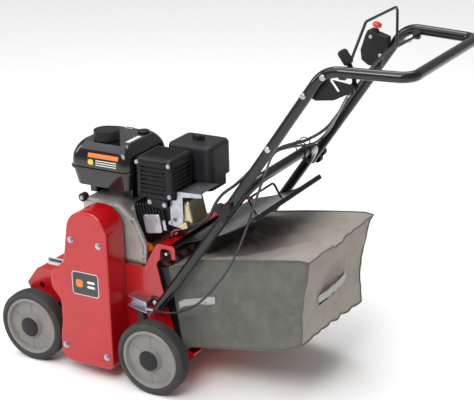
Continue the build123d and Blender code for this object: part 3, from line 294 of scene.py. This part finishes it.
def new_object(name, verts, faces, paints, faces_paint=None, smooth=True):
    data = bpy.data.meshes.new(name)
    data.from_pydata([tuple(v) for v in verts], [], faces)
    for paint in paints:
        data.materials.append(paint.mat)
    if faces_paint:
        data.polygons.foreach_set("material_index", faces_paint)
    data.polygons.foreach_set("use_smooth", [smooth] * len(data.polygons))
    bm = bmesh.new()
    bm.from_mesh(data)
    bmesh.ops.recalc_face_normals(bm, faces=bm.faces)
    bm.to_mesh(data)
    bm.free()
    data.update()
    obj = bpy.data.objects.new(name, data)
    bpy.context.scene.collection.objects.link(obj)
    return obj


def smooth_path(points, steps=10):
    """Points along a smooth line that passes through every given point."""
    pts = [Vector(p) * MM for p in points]
    pts = [2 * pts[0] - pts[1]] + pts + [2 * pts[-1] - pts[-2]]
    path = []
    for a, b, c, d in zip(pts, pts[1:], pts[2:], pts[3:]):
        for k in range(steps):
            t = k / steps
            path.append(0.5 * (2 * b + (c - a) * t + (2 * a - 5 * b + 4 * c - d) * t * t
                               + (3 * b - a - 3 * c + d) * t ** 3))
    path.append(pts[-2])
    return path


def tube_mesh(path, radius, sides=12, closed=False):
    """Vertices and faces of a round tube along a path, its frame carried without twist."""
    count = len(path)
    verts, faces = [], []
    normal = None
    for i, p in enumerate(path):
        before = path[i - 1] if i or closed else p
        after = path[(i + 1) % count] if i < count - 1 or closed else p
        tangent = (after - before).normalized()
        if normal is None:
            normal = tangent.orthogonal().normalized()
        normal = (normal - tangent * normal.dot(tangent)).normalized()
        other = tangent.cross(normal)
        verts += [p + radius * (cos(2 * pi * k / sides) * normal + sin(2 * pi * k / sides) * other)
                  for k in range(sides)]
    for i in range(count if closed else count - 1):
        j = (i + 1) % count
        faces += [(i * sides + k, i * sides + (k + 1) % sides, j * sides + (k + 1) % sides, j * sides + k)
                  for k in range(sides)]
    if not closed:
        faces += [tuple(range(sides)), tuple(range((count - 1) * sides, count * sides))]
    return verts, faces


def tubes(name, runs, paint, body=None):
    """One object made of several tubes: runs is (path, radius, closed) for each."""
    verts, faces = [], []
    for path, radius, closed in runs:
        v, f = tube_mesh(path, radius, 14, closed)
        faces += [tuple(i + len(verts) for i in face) for face in f]
        verts += v
    obj = new_object(name, verts, faces, [paint])
    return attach(obj, body) if body else obj


def ring_faces(rows, count):
    """Faces between rows of count points each, then one that fills the first row and one the last."""
    faces = [(i * count + k, i * count + (k + 1) % count, (i + 1) * count + (k + 1) % count,
              (i + 1) * count + k) for i in range(rows - 1) for k in range(count)]
    return faces + [tuple(range(count)), tuple(range((rows - 1) * count, rows * count))]


def lathe(name, profile, origin, axis, paint, body, sides=48):
    """A turned piece: profile is (radius, height) in millimetres along the axis."""
    axis = Vector(axis).normalized()
    u = axis.orthogonal().normalized()
    v = axis.cross(u)
    base = Vector(origin) * MM
    verts = [base + MM * (r * (cos(2 * pi * k / sides) * u + sin(2 * pi * k / sides) * v) + h * axis)
             for r, h in profile for k in range(sides)]
    obj = new_object(name, verts, ring_faces(len(profile), sides), [paint])
    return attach(obj, body)


def rounded(size, radius):
    """The outline of a rectangle with rounded corners, as points about its centre."""
    w, h = size[0] / 2 - radius, size[1] / 2 - radius
    return [(cx + radius * cos(a), cy + radius * sin(a))
            for cx, cy, start in ((w, h, 0), (-w, h, pi / 2), (-w, -h, pi), (w, -h, 1.5 * pi))
            for a in (start + pi / 2 * k / 6 for k in range(7))]


def plate(name, size, radius, thick, centre, u, v, paint, body, turn=0.0):
    """A thin plate with rounded corners and softened edges, on the plane of u and v."""
    u, v = Vector(u).normalized(), Vector(v).normalized()
    u, v = u * cos(turn) + v * sin(turn), v * cos(turn) - u * sin(turn)
    out = u.cross(v)
    outline = rounded(size, radius)
    base = Vector(centre) * MM
    rows = ((1.0, 0.0), (1.0, thick * 0.7), (1 - 0.6 * thick / min(size), thick))
    verts = [base + MM * (x * s * u + y * s * v + d * out) for s, d in rows for x, y in outline]
    obj = new_object(name, verts, ring_faces(len(rows), len(outline)), [paint], smooth=False)
    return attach(obj, body)


def decal(name, size, radius, centre, v, paint, node, lift):
    """A thin sticker with rounded corners, level along x, that follows the surface of a CAD node:
    each point is dropped onto the node from DROP metres off it."""
    u, v = Vector(X_DIR), Vector(v).normalized()
    out = u.cross(v)
    outline = rounded(size, radius)
    edges = []
    for (x0, y0), (x1, y1) in zip(outline, outline[1:] + outline[:1]):
        parts = max(1, round(((x1 - x0) ** 2 + (y1 - y0) ** 2) ** 0.5 / 4))
        edges += [(x0 + (x1 - x0) * k / parts, y0 + (y1 - y0) * k / parts) for k in range(parts)]
    base = Vector(centre) * MM
    verts, rings = [], 8
    for scale in ((k + 1) / rings for k in range(rings)):
        for x, y in edges:
            start = base + MM * (x * scale * u + y * scale * v) + out * DROP
            hit, place, _, _ = NODES[node].ray_cast(start, -out)
            verts.append((place if hit else start - out * DROP) + out * lift * MM)
    faces = ring_faces(rings, len(edges))[:-1]
    obj = new_object(name, verts, faces, [paint])
    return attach(obj, "chassis")


def hex_bolt(name, origin, axis, across, body, high=4.5):
    """A washer and a hexagon head with a chamfered top."""
    r = across / 2
    washer = ((r * 1.35, 0), (r * 1.45, 0.3), (r * 1.45, 0.9), (r * 1.35, 1.2))
    lathe(name + "_washer", washer, origin, axis, zinc, body, 32)
    head = ((r * 1.15, 1.1), (r * 1.15, high - 0.8), (r * 0.98, high), (r * 0.6, high + 0.1))
    flats = lathe(name, head, origin, axis, zinc, body, 6).data.polygons
    flats.foreach_set("use_smooth", [False] * len(flats))


# ---------------------------------------------------------------- wheels
AXLE_HIGH = 100
HUB_CAP = ((27.4, 0), (27.8, 0.8), (27.4, 1.8), (22, 3.2), (12, 4.2), (3, 4.6))
for end, axle_x, face in (("front", -494, 274.02), ("rear", -92, 301.02)):
    for hand, side in (("left", -1), ("right", 1)):
        lathe(f"hub_cap_{end}_{hand}", HUB_CAP, (axle_x, side * face, AXLE_HIGH), (0, side, 0), plastic,
              f"wheel_{end}_{hand}")

# ---------------------------------------------------------------- cables
DEPTH_ROUTE = ((428, -205, 846), (408, -178, 826), (366, -110, 786), (254, 60, 673), (186, 150, 612),
               (173, 116, 601), (160, 20, 618), (160, -70, 627), (178, -150, 602), (177, -195, 552),
               (169, -226, 493), (124, -228, 388), (69, -232, 306), (8, -232, 245), (-60, -229, 212),
               (-118, -226, 206))
CLUTCH_ROUTE = ((408, 205, 880), (372, 190, 868), (320, 183, 815), (270, 188, 752), (215, 200, 676),
                (176, 188, 622), (148, 135, 603), (146, 60, 612), (150, -40, 626), (142, -128, 612),
                (111, -172, 574), (70, -174, 540), (46, -172, 509), (22, -165, 469), (-22, -155, 434),
                (-80, -142, 403), (-104, -136, 389.5))
STOP_ROUTE = ((302, 209, 803), (290, 216, 782), (255, 217, 730), (222, 214, 684), (190, 196, 640),
              (160, 140, 611), (155, 60, 620), (158, -40, 634), (150, -128, 620), (119, -172, 582),
              (77, -176, 548), (53, -175, 517), (28, -169, 477), (-16, -160, 443), (-44, -161, 434))
DEPTH_R, CLUTCH_R, WIRE_R = 3.0, 4.0, 1.5
for name, route, radius, node in (("depth_cable_sheath", DEPTH_ROUTE, DEPTH_R, "depth_cable"),
                                  ("clutch_cable_sheath", CLUTCH_ROUTE, CLUTCH_R, "clutch_cable"),
                                  ("stop_wire", STOP_ROUTE, WIRE_R, None)):
    cable = tubes(name, [(smooth_path(route), radius * MM, False)], sheath)
    if node:
        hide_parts(node)
    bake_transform(cable)


def ferrule(name, route, radius, body):
    """The pressed metal sleeve on a cable's end, from its last point inwards."""
    end, inner = Vector(route[0]), Vector(route[1])
    lathe(name, ((radius + 0.6, 0), (radius + 1.4, 1), (radius + 1.4, 12), (radius + 0.9, 13),
                 (radius + 0.9, 18), (radius + 0.3, 19)), end, inner - end, zinc, body, 20)


ferrule("depth_ferrule_top", DEPTH_ROUTE, DEPTH_R, "upper_handle")
ferrule("clutch_ferrule_top", CLUTCH_ROUTE, CLUTCH_R, "upper_handle")
ferrule("clutch_ferrule_base", CLUTCH_ROUTE[::-1], CLUTCH_R, "chassis")


def tie_point(a, y):
    """A point of a cable tie: round the cross tube, and wider over the cables on top of it."""
    if 0.2 * pi < a < 0.85 * pi:
        return Vector((156 + 19 * cos(a), y, 599 + 19 * sin(a))) * MM
    return Vector((159 + 14.6 * cos(a), y + 1.5 * sin(3 * a), 584 + 14.6 * sin(a))) * MM


for name, y in (("cable_tie_cross", 108), ("cable_tie_side", 78)):
    band = [tie_point(2 * pi * k / 40, y) for k in range(40)]
    tubes(name, [(band, 1.5 * MM, True)], plastic, "chassis")

# ---------------------------------------------------------------- grass bag
# Side view of the bag's top and base from the mouth to the rear panel, x and z in millimetres.
BAG_TOP = ((-82, 322), (13, 360), (294, 409), (320, 408))
BAG_BASE = ((-45, 94), (-27, 110), (255, 158), (301, 182))
BAG_HALF = 197.0
# How many faces of cloth lie across, up and along the bag.
ACROSS, HIGH, LONG = 72, 44, 76


def along_line(points, share):
    spans = [(Vector(b) - Vector(a)).length for a, b in zip(points, points[1:])]
    left = share * sum(spans)
    for (a, b), span in zip(zip(points, points[1:]), spans):
        if left <= span + 1e-6:
            return Vector(a).lerp(Vector(b), min(left / span, 1))
        left -= span
    return Vector(points[-1])


def crease(p, scale, turn):
    """Height of sharp folds in slack cloth, 0 to 1, that run along the turned direction."""
    a = p.x * cos(turn) + p.y * sin(turn)
    b = p.y * cos(turn) - p.x * sin(turn)
    return (1 - abs(noise.noise(Vector((a * scale * 0.32, b * scale, p.z * scale * 0.5))))) ** 3


def bag_point(a, b, i):
    """A point of the bag: a across, b up, i along, each from 0 to 1, in millimetres."""
    top, base = along_line(BAG_TOP, i), along_line(BAG_BASE, i)
    x, z = base.lerp(top, b)
    y = (2 * a - 1) * BAG_HALF
    in_a, in_b = sin(pi * a) ** 0.7, sin(pi * b) ** 0.7
    slack = min(1.0, i * 9)
    rear = max(0.0, (i - 0.45) / 0.55) ** 1.6
    pull = rear * max(0.0, 1 - b) ** 0.35 * (1 - 0.45 * max(0.0, 0.4 - b))
    if a > 0.5:
        y -= 62 * pull * (2 * a - 1)
        z -= rear * (2 * a - 1) * (9 * b + 15 * (1 - b))
        x -= 8 * rear * (2 * a - 1) * b
    else:
        x -= 6 * pull * (1 - 2 * a)
    p = Vector((x, y, z))
    if b in (0, 1):
        deep = 4.5 if b else 3.0
        p.z -= slack * in_a * (deep * 2.2 * sin(pi * i) ** 1.4 * (1 if b else 0.8))
        p.z += slack * in_a * 15.0 * (crease(p, 0.014, 0.5) - 0.80)
        p.z += slack * in_a * 7.5 * (crease(p, 0.034, -0.6) - 0.76)
    elif a in (0, 1):
        out = 1 if a else -1
        q = Vector((x, z, out * 300))
        p.y += out * slack * in_b * (3.0 * sin(pi * i) - 2.0)
        folds = 9.0 * (crease(q, 0.014, -0.5) - 0.80) + 4.0 * (crease(q, 0.036, 0.9) - 0.77)
        p.y += out * slack * in_b * folds
    if i == 1:
        p.x += -7.0 * sin(pi * min(1.0, b * 1.25)) * in_b
        q = Vector((y, z, 700))
        p.x += in_a * in_b * (14.0 * (crease(q, 0.012, 0.5) - 0.80) + 6.0 * (crease(q, 0.030, -0.7) - 0.77))
    return p * MM


# The sides are net and the rest is cloth; the rear panel's inner points follow the rings'.
ring = [(a / ACROSS, 1) for a in range(ACROSS + 1)] + [(1, b / HIGH) for b in range(HIGH - 1, 0, -1)]
ring += [(a / ACROSS, 0) for a in range(ACROSS, -1, -1)] + [(0, b / HIGH) for b in range(1, HIGH)]
bag_verts = [bag_point(a, b, i / LONG) for i in range(LONG + 1) for a, b in ring]
bag_faces = ring_faces(LONG + 1, len(ring))[:-2]
bag_paint = [1 if here[0] == after[0] else 0 for here, after in zip(ring, ring[1:] + ring[:1])] * LONG
back_index = {}
for k, (a, b) in enumerate(ring):
    back_index[(round(a * ACROSS), round(b * HIGH))] = LONG * len(ring) + k
for a in range(1, ACROSS):
    for b in range(1, HIGH):
        back_index[(a, b)] = len(bag_verts)
        bag_verts.append(bag_point(a / ACROSS, b / HIGH, 1))
for a in range(ACROSS):
    for b in range(HIGH):
        bag_faces.append((back_index[(a, b)], back_index[(a + 1, b)], back_index[(a + 1, b + 1)],
                          back_index[(a, b + 1)]))
        bag_paint.append(0)
bag = new_object("grass_bag_cloth", bag_verts, bag_faces, [taupe, mesh_cloth], bag_paint)
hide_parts("grass_bag")
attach(bag, "bag")


def seam(a, b, steps=60):
    return [bag_point(a, b, i / steps) for i in range(steps + 1)]


def back_edge(a0, b0, a1, b1, steps=30):
    return [bag_point(a0 + (a1 - a0) * k / steps, b0 + (b1 - b0) * k / steps, 1) for k in range(steps + 1)]


PIPING_R, MOUTH_R = 2.2 * MM, 2.6 * MM
seams = [(seam(a, b), PIPING_R, False) for a in (0, 1) for b in (0, 1)]
seams += [(back_edge(*ends), PIPING_R, False)
          for ends in ((0, 0, 0, 1), (1, 0, 1, 1), (0, 1, 1, 1), (0, 0, 1, 0))]
seams.append(([bag_point(a, b, 0) for a, b in ring], MOUTH_R, True))
bag_piping = tubes("bag_piping", seams, piping, "bag")


def strap(name, start, end, wide, lift, paint):
    """A flat strap on the bag's rear panel, bowed off the cloth in its middle; start and end are
    shares of the panel's width and height."""
    verts, steps = [], 24
    for k in range(steps + 1):
        t = k / steps
        a, b = start[0] + (end[0] - start[0]) * t, start[1] + (end[1] - start[1]) * t
        bow = Vector((lift * (0.35 + sin(pi * t)), 0, 0))
        low, high = bag_point(a, b - wide / 2, 1), bag_point(a, b + wide / 2, 1)
        front = max(low.x, high.x, bag_point(a, b, 1).x)
        for p, d in ((low, 0), (low, 1.6), (high, 1.6), (high, 0)):
            verts.append(Vector((front, p.y, p.z)) + (bow + Vector((d, 0, 0))) * MM)
    faces = [(4 * k + m, 4 * k + (m + 1) % 4, 4 * k + 4 + (m + 1) % 4, 4 * k + 4 + m)
             for k in range(steps) for m in range(4)]
    faces += [(0, 1, 2, 3), tuple(range(4 * steps, 4 * steps + 4))]
    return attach(new_object(name, verts, faces, [paint], smooth=False), "bag")


# Painted shade: a near-black strip along the lower edge of the hand strap, for the slit there that lies in
# shade.
bag_slit_shade = strap("bag_hand_slit", (0.25, 0.34), (0.60, 0.43), 0.055, 0.6, slit_shade)
bag_strap = strap("bag_hand_strap", (0.24, 0.39), (0.61, 0.49), 0.085, 6.0, webbing)
patch_verts = [bag_point(0, b, 0.02 + 0.016 * k) - Vector((0, 0.9 * MM, 0))
               for k in range(19) for b in (0.50, 0.54, 0.58)]
patch_faces = [(3 * k + m, 3 * k + m + 1, 3 * k + m + 4, 3 * k + m + 3) for k in range(18) for m in range(2)]
bag_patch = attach(new_object("bag_patch", patch_verts, patch_faces, [webbing]), "bag")

# ---------------------------------------------------------------- labels without words
# Each label: name, width and height, corner radius, centre, paint and how far it stands off.
COVER_LABELS = (("cover_label_edge", (84, 66), 9, (-284, -291, 273), label_silver, 0.25),
                ("cover_label", (79, 61), 7, (-284, -291, 273), label_black, 0.45),
                ("cover_label_mark", (22, 22), 7, (-303, -291, 273), label_orange, 0.6),
                ("cover_label_bar_a", (24, 7), 3, (-266, -291, 280), label_white, 0.6),
                ("cover_label_bar_b", (24, 7), 3, (-266, -291, 267), label_white, 0.6))
DECK_LABELS = (("deck_label", (52, 22), 3, (-440, -209, 278), label_silver, 0.3),
               ("deck_label_bar", (44, 9), 2, (-440, -209, 281), label_black, 0.5))
TANK_LABELS = (("tank_label", (98, 40), 4, (-272, -197, 582), label_black, 0.3),
               ("tank_label_head", (94, 11), 2, (-272, -195.3, 595), label_orange, 0.5),
               ("tank_label_sign", (16, 14), 5, (-310, -198, 577), label_yellow, 0.5),
               ("tank_label_line_0", (64, 2.4), 1, (-262, -198, 583), label_white, 0.5),
               ("tank_label_line_1", (64, 2.4), 1, (-262, -198, 577), label_white, 0.5),
               ("tank_label_line_2", (64, 2.4), 1, (-262, -198, 571), label_white, 0.5))
TOP_LABELS = (("tank_top_label", (12, 60), 2, (-232, -112, 624), label_white, 0.3),)
TANK_SLOPE = (0, 5, 40)
for node, labels, rise in (("belt_cover", COVER_LABELS, Z_DIR), ("deck_housing", DECK_LABELS, Z_DIR),
                           ("fuel_tank", TANK_LABELS, TANK_SLOPE), ("fuel_tank", TOP_LABELS, Y_DIR)):
    for name, size, radius, centre, paint, lift in labels:
        decal(name, size, radius, centre, rise, paint, node, lift)

# ---------------------------------------------------------------- engine details
# Heights and depths of the faces that the small parts sit on.
TANK_TOP = 624.05
GUARD_LEFT, GUARD_REAR, GUARD_TOP, GUARD_BASE = -183.4, -73.6, 606.2, 500
CASE_LEFT, HEAD_LEFT, HEAD_PLATE_LEFT = -195.05, -175.6, -177.9
LEFTWARD = (0, -1, 0)

lathe("tank_vent", ((15, 0), (16, 1), (16, 4), (14, 5.5), (6, 6.2)), (-244, -46, TANK_TOP), Z_DIR, plastic,
      "chassis")
plate("tank_clip", (26, 12), 2, 2.2, (-296, -34, TANK_TOP), X_DIR, Y_DIR, zinc, "chassis")

louvres = []
for n in range(7):
    z = GUARD_BASE + 16.6 + 11.5 * n
    louvres.append(([Vector((x, GUARD_LEFT, z)) * MM for x in range(-168, -92, 3)], 2.3 * MM, False))
    louvres.append(([Vector((GUARD_REAR, y, z)) * MM for y in range(-164, -88, 3)], 2.3 * MM, False))
for n in range(8):
    x = -165 + 10 * n
    louvres.append(([Vector((x, y, GUARD_TOP)) * MM for y in range(-166, -86, 3)], 2.0 * MM, False))
tubes("guard_louvres", louvres, sheet_black, "chassis")

for n, (x, z) in enumerate(((-178, 592), (-83, 592), (-83, 510))):
    hex_bolt(f"guard_bolt_{n}", (x, GUARD_LEFT + 0.3, z), LEFTWARD, 8, "chassis", 3.5)
for n, (x, z) in enumerate(((-331, 464), (-242, 464), (-190, 434), (-174, 399), (-160, 340), (-333, 332))):
    hex_bolt(f"crankcase_bolt_{n}", (x, CASE_LEFT, z), LEFTWARD, 9, "chassis")
lathe("case_rubber", ((11, 0), (11.5, 1), (11.5, 17), (10, 19.2), (4, 19.6)), (-341, -187, 476), LEFTWARD,
      plastic, "chassis")
hex_bolt("case_rubber_bolt", (-341, -206.4, 476), LEFTWARD, 8, "chassis", 3)

for name, size, radius, thick, place, paint, turn in (
        ("head_plate", (50, 50), 6, 2, (-141, HEAD_LEFT, 426), zinc, 9.7),
        ("head_plate_rib", (34, 6), 2.5, 2, (-136, -177.7, 424), zinc, 62),
        ("head_strip", (9, 28), 2, 2.5, (-105, HEAD_LEFT, 428), zinc, 10),
        ("head_cover", (62, 24), 6, 2.5, (-125, HEAD_LEFT, 485), sheet_black, -2)):
    plate(name, size, radius, thick, place, X_DIR, Z_DIR, paint, "chassis", radians(turn))
for n, place in enumerate(((-147, HEAD_PLATE_LEFT, 486), (-102, HEAD_PLATE_LEFT, 484),
                           (-86.5, HEAD_LEFT, 438), (-158, HEAD_PLATE_LEFT, 444))):
    hex_bolt(f"head_bolt_{n}", place, LEFTWARD, 9, "chassis")
plate("governor_tab", (22, 16), 4, 2, (-53, -166, 431), X_DIR, Z_DIR, chromate, "chassis", radians(20))
for n, y in enumerate((-154, -20)):
    hex_bolt(f"flap_handle_bolt_{n}", (161, y, 494.6), (-0.53, 0, 0.85), 8, "flap", 4)

# ---------------------------------------------------------------- studio
FLOOR_HALF, FLOOR_Z = 30, -0.0005
floor_corners = [(x * FLOOR_HALF, y * FLOOR_HALF, FLOOR_Z) for x, y in ((-1, -1), (1, -1), (1, 1), (-1, 1))]
floor = new_object("studio_floor", floor_corners, [(0, 1, 2, 3)], [floor_pale], smooth=False)

scene = bpy.context.scene
world = bpy.data.worlds.new("studio_world")
world.use_nodes = True
world.node_tree.nodes["Background"].inputs["Color"].default_value = (1, 1, 1, 1)
world.node_tree.nodes["Background"].inputs["Strength"].default_value = 0.30
scene.world = world
scene.view_settings.view_transform = "Standard"


def softbox(name, place, size, power):
    """A rectangular light aimed at the middle of the machine."""
    light = bpy.data.lights.new(name, "AREA")
    light.shape = "RECTANGLE"
    light.size, light.size_y = size
    light.energy = power
    obj = bpy.data.objects.new(name, light)
    scene.collection.objects.link(obj)
    obj.location = place
    obj.rotation_euler = (Vector((0, 0, 0.4)) - Vector(place)).to_track_quat("-Z", "Y").to_euler()


softbox("key_light", (0.6, -3.2, 3.4), (2.2, 1.6), 95)
softbox("left_light", (-3.4, -1.6, 2.2), (1.4, 1.8), 40)
softbox("top_light", (-0.2, 1.2, 3.6), (2.6, 1.4), 50)

daylight = bpy.data.lights.new("even_light", "SUN")
daylight.energy = 1.75
daylight.angle = radians(70)
even = bpy.data.objects.new("even_light", daylight)
even.rotation_euler = (radians(18), radians(-14), 0)
scene.collection.objects.link(even)

# The camera of the photograph: where it stands, and the angles it looks along.
CAMERA_PLACE = (1.7270, -2.9649, 1.7040)
AZIMUTH, ELEVATION, ROLL = radians(30.168), radians(19.990), radians(-1.540)
back = Vector((sin(AZIMUTH) * cos(ELEVATION), -cos(AZIMUTH) * cos(ELEVATION), sin(ELEVATION)))
right = (-back).cross(Vector((0, 0, 1))).normalized()
up = right.cross(-back)
across = right * cos(ROLL) + up * sin(ROLL)
upright = up * cos(ROLL) - right * sin(ROLL)
camera_data = bpy.data.cameras.new("photo_camera")
camera_data.lens = 105.5
camera_data.sensor_width = 36
camera_data.sensor_fit = "HORIZONTAL"
camera_data.shift_x = 0.004
camera = bpy.data.objects.new("photo_camera", camera_data)
scene.collection.objects.link(camera)
facing = Matrix((across, upright, back)).transposed().to_4x4()
camera.matrix_world = Matrix.Translation(CAMERA_PLACE) @ facing
scene.camera = camera
